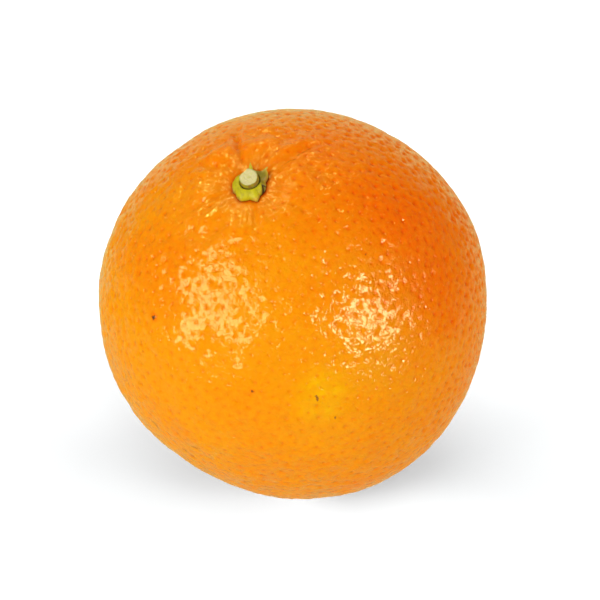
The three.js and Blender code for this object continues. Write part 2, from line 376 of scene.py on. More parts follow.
def skin_radius(directions):
    """Distance of the smooth skin from the fruit's middle along unit vectors, in millimetres.
    The equator's radius grows by AXIAL_STRETCH times the squared cosine of the polar angle.
    Each swelling adds its height times e to the (cosine - 1) / spread^2 of the angle from it,
    each ring adds a bell of the polar angle, and each fold takes away a bell across its line."""
    polar, azimuth = angles_of(directions)
    radius = equator_radius() * (1 + AXIAL_STRETCH * directions[..., 2] ** 2)
    for middle_polar, middle_azimuth, spread, height in SWELLINGS:
        nearness = directions @ towards(middle_polar, middle_azimuth) - 1
        radius = radius + height * np.exp(nearness / np.radians(spread) ** 2)
    for height, middle, spread in RINGS:
        radius = radius + height * bell(polar, middle, spread)
    for fold in FOLDS:
        aside, fade = across_fold(fold, polar, azimuth, FOLD_LENGTH)
        radius = radius - fold.depth * bell(aside, 0, fold.half_width) * fade
    return radius


def lean_matrix():
    """The rotation that leans the stem over, about the level axis square to its lean."""
    lean, towards_azimuth = math.radians(STEM_LEAN), math.radians(STEM_LEAN_TOWARDS)
    x, y = -math.sin(towards_azimuth), math.cos(towards_azimuth)
    cross = np.array([[0, 0, y], [0, 0, -x], [-y, x, 0]])
    return np.eye(3) + math.sin(lean) * cross + (1 - math.cos(lean)) * cross @ cross


LEAN = lean_matrix()


def resting_middle():
    """Where the fruit's middle stands: over the deepest point of the leaning skin, found among a
    fan of directions, which goes SPOT_SINK under the table."""
    polar, azimuth = np.meshgrid(np.arange(140, 180.01, 0.25), np.arange(0, 360, 2))
    directions = towards(polar, azimuth).reshape(-1, 3)
    points = directions * skin_radius(directions @ LEAN)[:, None]
    deepest = points[points[:, 2].argmin()]
    return -deepest - np.array([0, 0, SPOT_SINK])


def stand(points):
    """Points of the stem's frame, in millimetres, as they stand on the table, in metres."""
    return (points @ LEAN.T + resting_middle()) * MM


# ---- Meshes ----


def make_mesh(name, points, faces, material, attributes):
    """A smooth-shaded mesh object at the origin, with one attribute for each array."""
    mesh = bpy.data.meshes.new(name)
    mesh.from_pydata(points.tolist(), [], faces, shade_flat=False)
    for label, values in attributes.items():
        kind, field = ("FLOAT", "value") if values.ndim == 1 else ("FLOAT_VECTOR", "vector")
        attribute = mesh.attributes.new(label, kind, "POINT")
        attribute.data.foreach_set(field, values.astype(np.float32).ravel())
    mesh.materials.append(material)
    mesh.validate()
    piece = bpy.data.objects.new(name, mesh)
    bpy.context.scene.collection.objects.link(piece)
    return piece


def take_place(piece, node):
    """The piece stands for a CAD node, whose plain part it hides, and moves with the fruit."""
    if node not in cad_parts:
        raise RuntimeError(f"the packed model has no node {node}")
    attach(piece, "root")
    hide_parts(node)


def cube_sphere(cells):
    """Unit directions and faces of a cube's surface blown up to a sphere. Each side is a grid
    of cells by cells squares, with coordinates that are tangents of even angles from -45 to 45
    degrees, drawn in to length 1. Sides share the points of their common edges."""
    row = cells + 1
    first, second = np.meshgrid(np.arange(row), np.arange(row), indexing="ij")
    quads = []
    for axis in range(3):
        for level in (0, cells):
            place = np.roll([np.full_like(first, level), first, second], axis, 0)
            key = (place[0] * row + place[1]) * row + place[2]
            corners = [key[:-1, :-1], key[1:, :-1], key[1:, 1:], key[:-1, 1:]]
            quads.append(np.stack(corners if level else corners[::-1], -1).reshape(-1, 4))
    keys, faces = np.unique(np.concatenate(quads), return_inverse=True)
    lattice = np.stack(np.unravel_index(keys, (row,) * 3), -1)
    return unit(np.tan((lattice / cells * 2 - 1) * np.pi / 4)), faces.reshape(-1, 4)


def crowd_to_stem(directions):
    """Polar angles less CROWDING times their sine, so that cells near +Z shrink."""
    polar, azimuth = angles_of(directions)
    return towards(polar - np.degrees(CROWDING) * np.sin(np.radians(polar)), azimuth)


def fan_faces(rings, columns):
    """Faces of rings of points between two end points, numbered end, rings, end. They face outwards
    when the rings run up the outside anticlockwise."""
    column = np.arange(columns)
    ahead = (column + 1) % columns
    first = 1 + np.arange(rings - 1)[:, None] * columns
    sides = np.stack([first + column, first + ahead,
                      first + columns + ahead, first + columns + column], -1).reshape(-1, 4)
    bottom = np.stack([0 * column, 1 + ahead, 1 + column], -1)
    last = 1 + (rings - 1) * columns
    top = np.stack([0 * column + last + columns, last + column, last + ahead], -1)
    return sides.tolist() + bottom.tolist() + top.tolist()


def closed_form(name, rings, ends, material, attributes):
    """A mesh object from rings of points, shaped (rings, columns, 3), and two end points.
    Attributes have the rings' values and the last end's, and start at 0."""
    shape = rings.shape[:2]
    points = np.concatenate([ends[:1], rings.reshape(-1, 3), ends[1:]])
    columns = {
        label: np.concatenate([[0], np.broadcast_to(values, shape).ravel(), [at_end]])
        for label, (values, at_end) in attributes.items()
    }
    return make_mesh(name, stand(points), fan_faces(*shape), material, columns)


# ---- Rind ----


def ripple(points, wave, random):
    """A random height with mean 0 and the wave's deviation: the sum of cosines in space, each with
    its own heading, phase and wavelength."""
    headings = unit(random.normal(size=(RIPPLE_COSINES, 3)))
    shortest, longest, deviation = wave
    lengths = random.uniform(shortest, longest, RIPPLE_COSINES)
    phases = random.uniform(0, 2 * np.pi, RIPPLE_COSINES)
    turns = points @ (headings * (2 * np.pi / lengths)[:, None]).T + phases
    return np.cos(turns).sum(-1) * (deviation * math.sqrt(2 / RIPPLE_COSINES))


def scatter(count, shake, rounds, random):
    """Unit vectors spread evenly but irregularly: a golden-angle spiral, shaken by a share of the
    mean spacing, then pushed apart for some rounds."""
    order = np.arange(count) + 0.5
    polar = np.degrees(np.arccos(1 - 2 * order / count))
    points = towards(polar, order * 180 * (3 - math.sqrt(5)))
    spacing = math.sqrt(4 * math.pi / count)
    points = unit(points + random.normal(scale=shake * spacing, size=points.shape))
    for _ in range(rounds):
        apart = np.sqrt(np.maximum(2 - 2 * points @ points.T, 1e-12))
        push = np.maximum(0, 1 - apart / (PUSH_REACH * spacing)) ** 2 / apart
        np.fill_diagonal(push, 0)
        points = unit(points + PUSH * spacing * (points * push.sum(1)[:, None] - push @ points))
    return points


def near_pairs(points, centres, reach):
    """Every pair of a point and a centre closer than reach, and their distance, worked out in slabs
    to keep the table of distances small."""
    found = []
    slab = 2048
    centre_squares = (centres ** 2).sum(1).astype(np.float32)
    narrow = centres.astype(np.float32).T
    for start in range(0, len(points), slab):
        part = points[start:start + slab].astype(np.float32)
        squares = (part ** 2).sum(1)[:, None] + centre_squares - 2 * part @ narrow
        at, centre = np.nonzero(squares < reach * reach)
        found.append(np.stack([at + start, centre]))
    at, centre = np.concatenate(found, 1)
    return at, centre, np.linalg.norm(points[at] - centres[centre], axis=1)


def make_glands(settings):
    """Oil glands on the unit sphere, and their sizes as shares of a large one. Small glands fill
    the room that the large ones leave."""
    random = np.random.default_rng(11)
    equator = equator_radius()
    spacing = settings.gland_spacing / MM
    count = int(4 * math.pi * equator ** 2 / spacing ** 2)
    large = scatter(count, 0.33, GLAND_ROUNDS, random)
    small = scatter(int(count * SMALL_GLANDS), 0.4, 0, random)
    _, crowded, _ = near_pairs(large * equator, small * equator, 0.5 * spacing)
    small = np.delete(small, np.unique(crowded), axis=0)
    sizes = np.concatenate([random.uniform(0.7, 1.15, len(large)),
                            random.uniform(0.25, 0.6, len(small))])
    return np.concatenate([large, small]), sizes


def gland_relief(points, glands, sizes, settings):
    """The bowls over the glands: a bell of depth and spread in step with each gland's size. Also
    the step from the nearest gland, and its size."""
    at, gland, apart = near_pairs(points, glands, GLAND_REACH)
    depth = settings.gland_depth / MM * sizes[gland] ** 1.3
    spread = 0.55 * sizes[gland] ** 0.7
    relief = -np.bincount(at, depth * bell(apart, 0, spread), len(points))
    order = np.lexsort((apart, at))
    nearest = order[np.unique(at[order], return_index=True)[1]]
    steps = np.full((len(points), 3), 9.0)
    steps[at[nearest]] = points[at[nearest]] - glands[gland[nearest]]
    size = np.full(len(points), 0.5)
    size[at[nearest]] = sizes[gland[nearest]]
    return relief, steps, size


def pleats(polar, azimuth, random):
    """Fine creases round the calyx: cosines of whole multiples of the azimuth, summed."""
    low, high = PLEAT_COUNTS
    waves = np.arange(low, high)
    phases = random.uniform(0, 2 * np.pi, len(waves))
    weights = random.uniform(0.3, 1, len(waves))
    turns = np.radians(azimuth)[:, None] * waves + phases
    total = (np.cos(turns) * weights).sum(1) / math.sqrt((weights ** 2).sum() / 2)
    return 0.065 * total * bell(polar, 10, 5)


def fold_relief(polar, azimuth):
    """What sharpens the folds: a bell across each for a narrow crease, and two more for its
    shoulders."""
    relief = 0
    for fold in FOLDS:
        aside, fade = across_fold(fold, polar, azimuth, CREASE_LENGTH)
        width = 0.45 * fold.half_width
        shoulders = bell(np.abs(aside), 3.4 * width, 1.7 * width)
        relief = relief - fold.depth * (0.7 * bell(aside, 0, width) - 0.5 * shoulders) * fade
    return relief


def build_rind(settings):
    """The skin over the smooth form, with gland bowls, folds, pleats and ripples, most of which
    fade out under the calyx. What would reach below the table is level with it, which makes the
    flat spot."""
    random = np.random.default_rng(7)
    directions, faces = cube_sphere(RIND_CELLS)
    directions = crowd_to_stem(directions)
    polar, azimuth = angles_of(directions)
    radius = skin_radius(directions)
    smooth = directions * radius[:, None]
    glands, sizes = make_glands(settings)
    glands = glands * skin_radius(glands)[:, None]
    bowls, steps, size = gland_relief(smooth, glands, sizes, settings)
    outside_calyx = ease(polar, 5.5, 10)
    crinkled = ease(directions @ towards(*CRINKLED_SIDE), -0.5, 0.55)
    depth = 0.4 + 0.18 * crinkled + 0.5 * ease(polar, 75, 100)
    for middle_polar, middle_azimuth, low, more in DEEPER_BOWLS:
        depth += more * ease(directions @ towards(middle_polar, middle_azimuth), low, 0.95)
    relief = bowls * outside_calyx * depth + pleats(polar, azimuth, random)
    relief += fold_relief(polar, azimuth)
    relief += ripple(smooth, COLLAR_RIPPLE, random) * bell(polar, 17, 8)
    for wave, kept in RIPPLES:
        share = 1 - (1 - kept) * crinkled
        relief += ripple(smooth, wave, random) * outside_calyx * share
    points = stand(directions * (radius + relief)[:, None])
    points[:, 2] = np.maximum(points[:, 2], 0)
    distance = np.linalg.norm(steps, axis=1)
    past_calyx = np.sin(np.radians(polar)) * radius - calyx_reach(azimuth) + 99 * (polar > 20)
    # The painted shade by the calyx's edge reaches further out on the lower right.
    past_calyx -= 0.22 * sector(azimuth, 322, 14)
    attributes = {
        "gland_step": steps,
        "gland_distance": distance,
        "gland_core": ease(distance, 0.55, 0.3),
        "gland_size": size * ease(polar, 6, 12),
        "paleness": paleness(smooth, directions, random),
        # painted shade round the stem: a bell of the polar angle from it
        "stem_dish_shade": bell(polar, 0, 8),
        "crinkling": crinkled,
        "calyx_shade": ease(past_calyx, 0.7, -0.05),
    }
    return make_mesh("rind", points, faces.tolist(), rind_material(settings), attributes)


def paleness(points, directions, random):
    """How little the skin has coloured, from 0 to 1: a slope over the fruit, with a bell at each of
    the PALE_SPOTS and a wide random ripple."""
    pale = PALE_MIDDLE + directions @ np.array(PALE_SLOPE)
    for polar, azimuth, spread, change in PALE_SPOTS:
        away = np.degrees(np.arccos(np.clip(directions @ towards(polar, azimuth), -1, 1)))
        pale = pale + change * bell(away, 0, spread)
    return np.clip(pale + ripple(points, BLOTCHES, random), 0, 1)


# ---- Calyx ----


def calyx_reach(azimuth):
    """The calyx's edge from the stem axis: the plate's radius with its bulges, or each sepal's
    point, where that is further out, less the hollows."""
    reach = PLATE_RADIUS + 0.035 * np.cos(np.radians(azimuth * 9)) * np.cos(np.radians(azimuth * 4))
    for middle, spread, change in PLATE_BULGES:
        reach = reach + change * sector(azimuth, middle, spread)
    for sepal in SEPALS:
        share = np.clip(1 - np.abs(azimuth_gap(sepal.azimuth, azimuth)) / sepal.half_width, 0, 1)
        root = PLATE_RADIUS - 0.1
        reach = np.maximum(reach, root + (sepal.length - root) * share ** sepal.taper)
    for middle, spread, change in SEPAL_HOLLOWS:
        reach = reach - change * sector(azimuth, middle, spread)
    return reach


def calyx_lift(azimuth, share):
    """How far the calyx stands off the skin: each sepal's lift times a power of the share of the
    way out, times a bell across the sepal."""
    lift = np.zeros_like(share * azimuth)
    for sepal in SEPALS:
        across = azimuth_gap(sepal.azimuth, azimuth) / sepal.half_width
        lift += sepal.lift * share ** (4.5 * sepal.taper) * bell(across, 0, 0.8)
    return lift


def beyond_notch(out, azimuth):
    """1 beyond the notch, where the scrap shows, and 0 on the sepals, and the painted shadow in the
    gap between them. The notch is a V that opens outwards from NOTCH_RADIUS."""
    gap = azimuth_gap(NOTCH_AZIMUTH, azimuth)
    edge = NOTCH_RADIUS + np.where(gap < 0, -0.022, 0.09) * gap
    edge = edge + 3 * ease(np.abs(gap), 34, 42)
    return ease(out, edge - 0.04, edge + 0.1), bell(out - edge, 0.1, 0.12)


def skin_height(out, azimuth):
    """Height of the smooth skin at a distance out from the stem axis."""
    directions = towards(np.degrees(np.arcsin(out / equator_radius())), azimuth)
    return skin_radius(directions) * directions[..., 2]


def dish_bottom():
    """Height of the skin under the stem."""
    return float(skin_height(np.array(0), np.array(0)))


def build_calyx(stem_settings):
    """The calyx, on rings out along its underside, which follows the skin, and back over its
    top. That is level over the seat, has a groove at the stub's foot, falls to the sepals with
    a swell between creases, and rounds over at the edge."""
    random = np.random.default_rng(23)
    azimuth = np.arange(CALYX_COLUMNS) * 360 / CALYX_COLUMNS
    turn = np.radians(azimuth)
    reach = calyx_reach(azimuth)
    seat = dish_bottom() + SEAT_HEIGHT
    under_share = np.linspace(0, 1, CALYX_RINGS // 3 + 1)[1:]
    over_share = np.linspace(1, 0, CALYX_RINGS + 1)[:-1] ** 0.8
    share = np.concatenate([under_share, over_share])[:, None]
    on_top = np.arange(len(share))[:, None] >= len(under_share)
    out = reach * share
    x, y = out * np.cos(turn), out * np.sin(turn)
    from_stub = np.hypot(x - STUB_SHIFT, y)
    tucked, gap = beyond_notch(out, azimuth)
    under = skin_height(out, azimuth) + CALYX_CLEARANCE + calyx_lift(azimuth, share)

    slope = np.clip((out - SEAT_RADIUS) / (reach - SEAT_RADIUS), 0, 1)
    crease = sum(sector(azimuth, middle, 11) for middle in CREASES)
    over = seat + (under + CALYX_THICKNESS - seat) * slope ** 1.15
    over = over + SEPAL_SWELL * np.sin(np.pi * slope) * (1 - 0.6 * np.clip(crease, 0, 1))
    over = over - CREASE_DEPTH * crease * slope - SCRAP_DROP * tucked
    over = over - GROOVE_DEPTH * bell(from_stub, STUB_BASE_RADIUS + 0.06, 0.1)
    places = np.stack(np.broadcast_arrays(turn * 14, out * 1.4, over), -1)
    over = over + ripple(places, VEINS, random) * ease(slope, 0, 0.3)
    over = over - 0.5 * CALYX_THICKNESS * ease(share, 0.93, 1) ** 2

    rings = np.stack([x, y, np.where(on_top, over, under)], -1)
    nub = sector(azimuth, 139, 5) * ease(out, 2.25, 2.6)
    drying = ease(np.abs(azimuth_gap(21, azimuth)), 52, 32)
    attributes = {
        "edge": (share, 0),
        "tip": (np.maximum(ease(out, 2.8, 3.35), nub), 0),
        "drying": (0.95 * drying * ease(share, 1.12, 0.84), 0),
        "tucked": (tucked, 0),
        # painted shadow in the gap by the notch
        "gap": (gap, 0),
        # painted shade in the groove at the stub's foot
        "groove": (bell(from_stub, STUB_BASE_RADIUS + 0.03, 0.11), 1),
    }
    ends = [[0, 0, dish_bottom() + CALYX_CLEARANCE], [0, 0, seat]]
    return closed_form("calyx_button", rings, ends, calyx_material(stem_settings), attributes)


# ---- Stub of stem ----


def fall(x, y, faces, slant):
    """How far a plane that slants down towards an azimuth has fallen at a place."""
    facing = np.radians(faces)
    return np.tan(np.radians(slant)) * (x * np.cos(facing) + y * np.sin(facing))


def cut_height(x, y):
    """Height of the clipped face: the lower of the slanted cut and a steeper chamfer, which meets
    it CHAMFER_OUT from the stub's axis."""
    facing = np.radians(CHAMFER_FACES)
    meet_x, meet_y = CHAMFER_OUT * np.cos(facing), CHAMFER_OUT * np.sin(facing)
    cut = STUB_HEIGHT - fall(x, y, CUT_FACES, CUT_SLANT)
    meeting = STUB_HEIGHT - fall(meet_x, meet_y, CUT_FACES, CUT_SLANT)
    return np.minimum(cut, meeting - fall(x - meet_x, y - meet_y, CHAMFER_FACES, CHAMFER_SLANT))


def build_stub(stem_settings):
    """The stub, on rings along STUB_OUTLINE: shares of the foot's radius, with fine ribs, and of
    the cut face's height, with a grain and a hollow round the pith."""
    random = np.random.default_rng(31)
    turn = np.radians(np.arange(STUB_COLUMNS) * 360 / STUB_COLUMNS)
    rim = len(STUB_OUTLINE) - 2
    along = np.concatenate([np.linspace(0, rim, STUB_RINGS * 2 // 3),
                            np.linspace(rim, rim + 1, STUB_RINGS // 3 + 2)[1:-1]])
    radius_share, height_share = (
        np.interp(along, np.arange(len(shares)), shares)[:, None] for shares in zip(*STUB_OUTLINE))
    waves = np.arange(2, 6)
    wobble = (np.cos(turn[:, None] * waves + random.uniform(0, 6.28, 4)) * 0.016).sum(1)
    ribs = 0.012 * np.cos(turn * 26 + 2 * np.cos(turn * 3)) * ease(radius_share, 0.7, 0.84)
    radius = STUB_BASE_RADIUS * radius_share * (1 + wobble + ribs)
    x, y = radius * np.cos(turn), radius * np.sin(turn)
    grain = ripple(np.stack([x, y, 0 * x], -1), GRAIN, random)
    pith = 0.05 * bell(radius, 0, 0.3) - 0.03 * bell(radius, 0.75, 0.12)
    height = height_share * cut_height(x, y) + (grain - pith) * ease(height_share, 0.9, 1)
    foot = dish_bottom() + SEAT_HEIGHT - STUB_SINK
    rings = np.stack([x + STUB_SHIFT, y, foot + height], -1)
    attributes = {
        "cut_face": ((along > rim - 0.5)[:, None], 1),
        "out_from_pith": (radius / STUB_TOP_RADIUS, 0),
        "up_the_side": (height_share, 1),
    }
    ends = [[STUB_SHIFT, 0, foot], [STUB_SHIFT, 0, foot + STUB_HEIGHT]]
    return closed_form("clipped_stub", rings, ends, stub_material(stem_settings), attributes)


# ---- Materials ----


class Paint:
    """The nodes of one material or of the world, and what feeds them."""

    def __init__(self, owner):
        owner.use_nodes = True
        self.owner, self.links, self.nodes = owner, owner.node_tree.links, owner.node_tree.nodes
        self.coordinates = self.node("TexCoord").outputs

    def feed(self, made, inputs):
        """Sets a node's inputs to numbers, colours or other nodes' outputs."""
        for place, value in dict(inputs).items():
            socket = made.inputs[place]
            if isinstance(value, bpy.types.NodeSocket):
                self.links.new(value, socket)
            else:
                socket.default_value = (*value, 1) if socket.type == "RGBA" else value

    def node(self, kind, inputs=(), **settings):
        """A node with its settings and inputs."""
        made = self.nodes.new("ShaderNode" + kind)
        for label, value in settings.items():
            setattr(made, label, value)
        self.feed(made, inputs)
        return made

    def maths(self, operation, *values):
        """The output of a Math node."""
        return self.node("Math", enumerate(values), operation=operation).outputs[0]

    def times(self, first, second):
        return self.maths("MULTIPLY", first, second)

    def plus(self, first, second):
        return self.maths("ADD", first, second)

    def vector(self, operation, *values):
        """The outputs of a Vector Math node."""
        return self.node("VectorMath", enumerate(values), operation=operation).outputs

    def ramp(self, value, low, high, to_low=0, to_high=1):
        """Runs smoothly from to_low to to_high as value runs from low to high."""
        return self.node("MapRange", {
            "Value": value, "From Min": low, "From Max": high, "To Min": to_low,
            "To Max": to_high}, interpolation_type="SMOOTHSTEP").outputs[0]

    def blend(self, colour, *layers):
        """A colour with layers over it, each a share and the colour that covers that much."""
        for share, cover in layers:
            mix = self.node("Mix", {0: share, 6: colour, 7: cover}, data_type="RGBA")
            colour = mix.outputs[2]
        return colour

    def stored(self, label, output="Fac"):
        """A number or vector that the mesh stores."""
        return self.node("Attribute", attribute_name=label).outputs[output]

    def noise(self, scale, detail=2, roughness=0.5, output="Fac"):
        """The height of a noise pattern, from 0 to 1 round a half, or its colour."""
        return self.node("TexNoise", {
            "Vector": self.coordinates["Object"], "Scale": scale, "Detail": detail,
            "Roughness": roughness}).outputs[output]

    def aside(self, scale, detail, reach):
        """A random step: the colour of a noise pattern less a half, times a reach."""
        colour = self.noise(scale, detail, output="Color")
        step = self.vector("SUBTRACT", colour, HALF)[0]
        return self.vector("MULTIPLY", step, (reach,) * 3)[0]

    def finish(self, colour, roughness, height, strength, sinking, gloss):
        """The material, with a bump of a height in millimetres, and light that sinks in by a share,
        each colour's reach and their scale in millimetres."""
        bump = self.node("Bump", {"Height": height, "Distance": MM, "Strength": strength})
        share, reach, scale = sinking
        self.feed(self.nodes["Principled BSDF"], {
            "Base Color": colour, "Roughness": roughness, "Normal": bump.outputs[0],
            "Subsurface Weight": share, "Subsurface Radius": reach,
            "Subsurface Scale": scale * MM, **gloss})
        return self.owner


def facets(paint, wander, scale, slant):
    """Small flat patches of skin, each tipped at random: the way from the middle of a pattern's
    cell, along a heading of the cell's own, times the slant. The wander winds the cells' edges."""
    place = paint.coordinates["Object"]
    moved = paint.vector("ADD", place, wander)[0]
    cell = paint.node("TexVoronoi", {"Vector": moved, "Scale": scale}).outputs
    way = paint.vector("SUBTRACT", place, cell["Position"])[0]
    heading = paint.vector("SUBTRACT", cell["Color"], HALF)[0]
    rise = paint.vector("DOT_PRODUCT", way, heading)["Value"]
    return paint.times(paint.maths("DIVIDE", rise, MM), slant)


def mark_cover(paint, place, marks, softness):
    """1 on any of the marks and 0 off them."""
    cover = 0
    for polar, azimuth, radius in marks:
        direction = towards(polar, azimuth)
        centre = stand(direction * skin_radius(direction))
        apart = paint.vector("DISTANCE", place, centre)["Value"]
        outer, inner = radius * MM * (1 + softness), radius * MM * (1 - softness)
        cover = paint.maths("MAXIMUM", paint.ramp(apart, outer, inner), cover)
    return cover


def rind_material(settings):
    """Glossy orange rind with a yellow patch, oil glands that dimple it, tinted in their own red
    with painted shade in their pits, dark specks, brown scuffs, painted shade round the stem and
    under the calyx's edge, a waxy shine and light that sinks in a little."""
    paint = Paint(bpy.data.materials.new("clementine_rind"))
    place = paint.coordinates["Object"]
    size = paint.stored("gland_size")
    crinkled = paint.stored("crinkling")
    calyx_shade = paint.stored("calyx_shade")
    blotch = paint.noise(95, 3)

    def gland_bell(distance, share):
        """e to the minus square of the distance from a gland, in shares of its size."""
        spread = paint.maths("MAXIMUM", paint.times(size, share), LEAST_SPREAD)
        ratio = paint.maths("DIVIDE", distance, spread)
        return paint.maths("EXPONENT", paint.times(paint.times(ratio, ratio), -1))

    apart = paint.stored("gland_distance")
    straight = paint.vector("LENGTH", paint.stored("gland_step", "Vector"))["Value"]
    nearest = paint.maths("MAXIMUM", straight, paint.plus(apart, -0.25))
    pore = paint.times(gland_bell(nearest, 0.28), paint.stored("gland_core"))
    gland_halo_tint_and_shade = gland_bell(apart, 0.55)

    pale = paint.plus(paint.stored("paleness"), paint.ramp(blotch, 0.3, 0.7, -0.1, 0.1))
    freckles = paint.noise(1400, 3, 0.6)
    pale = paint.plus(pale, paint.ramp(freckles, 0.3, 0.7, -0.12, 0.12))
    patch = paint.times(mark_cover(paint, place, [YELLOW_PATCH], 0.9),
                        paint.ramp(paint.noise(420), 0.4, 0.6, 0.45, 1))
    # The glands' own red tint together with painted shade in their pits, made stronger where the
    # skin is deep orange.
    dark = paint.plus(paint.times(paint.times(pore, pore), 0.35), paint.times(gland_halo_tint_and_shade, 0.2))
    dark = paint.times(dark, paint.maths("MINIMUM", size, 1))
    dark = paint.times(dark, paint.ramp(pale, 0.1, 0.8, 2, 0.7))

    push = paint.aside(4000, 2, 0.6 * MM)
    ragged = paint.vector("ADD", place, push)[0]
    scuff = paint.times(mark_cover(paint, ragged, BROWN_SCUFFS, 0.5),
                        paint.ramp(paint.noise(900, 3, 0.6), 0.32, 0.45))
    bruises = [(polar, azimuth, 2.2 * radius) for polar, azimuth, radius in DARK_SPECKS]
    speck = mark_cover(paint, ragged, DARK_SPECKS, 0.4)
    colour = paint.blend(
        settings.ripe_colour,
        (pale, settings.light_colour),
        (patch, settings.patch_colour),
        (dark, settings.pore_colour),
        # painted shade round the stem, in its dish
        (paint.times(paint.stored("stem_dish_shade"), 0.6), STEM_DISH_SHADE),
        (paint.times(calyx_shade, 0.85), SHADED_SKIN),
        # painted shadow on the thin line right under the calyx's edge
        (paint.ramp(calyx_shade, 0.88, 1, 0, 0.9), CALYX_EDGE_SHADOW),
        (scuff, SCUFF_BROWN),
        (paint.times(mark_cover(paint, ragged, bruises, 0.6), 0.5), settings.pore_colour),
        (speck, SPECK_BROWN),
    )
    roughness = paint.plus(paint.ramp(blotch, 0.3, 0.7, 0.05, 0.08),
                           paint.times(paint.maths("MAXIMUM", speck, scuff), 0.35))

    height = paint.times(paint.noise(1800, 1, 0.35),
                         paint.ramp(crinkled, 0, 1, 0.03, 0.09))
    wander = paint.aside(1300, 1, 1.6 * MM)
    for scale, smooth_slant, crinkled_slant in FACETS:
        slant = paint.ramp(crinkled, 0.2, 0.9, smooth_slant, crinkled_slant)
        height = paint.plus(height, facets(paint, wander, scale, slant))
    for scale in HAIR_CREASE_SCALES:
        level = paint.maths("ABSOLUTE", paint.plus(paint.noise(scale, 1, 0.4), -0.5))
        height = paint.plus(height, paint.ramp(level, 0, 0.035, -HAIR_CREASE_DEPTH, 0))
    dent = paint.times(paint.times(size, -settings.pore_depth / MM),
                       paint.ramp(crinkled, 0, 0.3, 0.6, 1))
    height = paint.plus(height, paint.times(pore, dent))
    return paint.finish(colour, roughness, height, 1, (0.35, (1, 0.35, 0.1), 1.1),
                        {"IOR": 1.47, "Specular Tint": (1, 1, 0.44)})


def calyx_material(settings):
    """Waxy yellow-green sepals, olive where they dry, brown at their edges, pale at their tips,
    with painted shade in the groove at the stub's foot and a painted shadow in the gap by the
    notch."""
    paint = Paint(bpy.data.materials.new("clementine_calyx"))
    mottle = paint.noise(1500, 3, 0.6)
    grain = paint.noise(5200)
    dry = paint.times(paint.stored("drying"), paint.ramp(mottle, 0.2, 0.5, 0.75, 1))
    edge = paint.plus(paint.stored("edge"), paint.ramp(mottle, 0.3, 0.7, -0.08, 0.08))
    colour = paint.blend(
        settings.calyx_colour,
        (paint.ramp(mottle, 0.35, 0.65), [0.78 * part for part in settings.calyx_colour]),
        (dry, settings.olive_colour),
        (paint.times(paint.ramp(edge, 0.93, 1.03), 0.6), settings.dry_colour),
        (paint.times(paint.stored("tip"), 0.8), TIP_STRAW),
        # painted shade in the groove at the stub's foot
        (paint.times(paint.stored("groove"), 0.9), GROOVE_SHADE),
        (paint.times(paint.stored("tucked"), 0.85), SCRAP_BROWN),
        # painted shadow in the gap by the notch
        (paint.stored("gap"), NOTCH_GAP_SHADOW),
    )
    height = paint.plus(paint.times(mottle, 0.05), paint.times(grain, 0.02))
    roughness = paint.ramp(grain, 0.3, 0.7, 0.38, 0.55)
    return paint.finish(colour, roughness, height, 0.8, (0.2, (0.8, 1, 0.3), 0.4),
                        {"Specular IOR Level": 0.18})


def stub_material(settings):
    """Green-brown bark on the side, with painted shade low down by its foot, and a cut face of pale
    wood with a greener rim, growth rings and darker pith."""
    paint = Paint(bpy.data.materials.new("clementine_stem"))
    mottle = paint.noise(1700, 3, 0.6)
    grain = paint.noise(6000)
    speckle = paint.noise(2600, 2, 0.6)
    out = paint.plus(paint.stored("out_from_pith"), paint.ramp(mottle, 0.3, 0.7, -0.06, 0.06))
    rings = paint.maths("SINE", paint.times(out, 34))
    wood = paint.blend(
        settings.cut_colour,
        (paint.ramp(rings, -1, 1, 0, 0.28), WOOD_RING),
        (paint.ramp(out, 0.25, 0.1, 0, 0.6), WOOD_PITH),
        (paint.ramp(out, 0.86, 0.99), WOOD_RIM),
        (paint.ramp(speckle, 0.55, 0.75, 0, 0.6), WOOD_TAN),
        (paint.ramp(speckle, 0.45, 0.3, 0, 0.6), WOOD_GREEN),
    )
    bark = paint.blend(
        settings.bark_colour,
        (paint.ramp(mottle, 0.4, 0.6), BARK_BROWN),
        # painted shade low on the stub's side, by its foot
        (paint.ramp(paint.stored("up_the_side"), 0.22, 0), GROOVE_SHADE),
    )
    height = paint.plus(paint.times(mottle, 0.05), paint.times(grain, 0.03))
    colour = paint.blend(bark, (paint.stored("cut_face"), wood))
    roughness = paint.ramp(grain, 0.3, 0.7, 0.6, 0.8)
    return paint.finish(colour, roughness, height, 0.8, (0.15, (1, 0.9, 0.5), 0.3),
                        {"Specular IOR Level": 0.15})


def table_material(colour):
    """Pale matt table top, with a very faint unevenness."""
    paint = Paint(bpy.data.materials.new("pale_table"))
    cloud = paint.noise(9)
    shade = paint.blend(colour, (cloud, [0.99 * part for part in colour]))
    paint.feed(paint.nodes["Principled BSDF"], {
        "Base Color": shade, "Roughness": 0.9, "Specular IOR Level": 0})
    return paint.owner


# ---- Stage ----


def face_point(thing, place, target):
    """Puts a light or camera at a place, looking at a target."""
    thing.location = place
    thing.rotation_euler = (target - place).to_track_quat("-Z", "Y").to_euler()
    bpy.context.scene.collection.objects.link(thing)


def from_front(azimuth, elevation):
    """Unit vector at an azimuth from the front and an elevation, in radians."""
    return Vector((math.sin(azimuth) * math.cos(elevation),
                   -math.cos(azimuth) * math.cos(elevation), math.sin(elevation)))


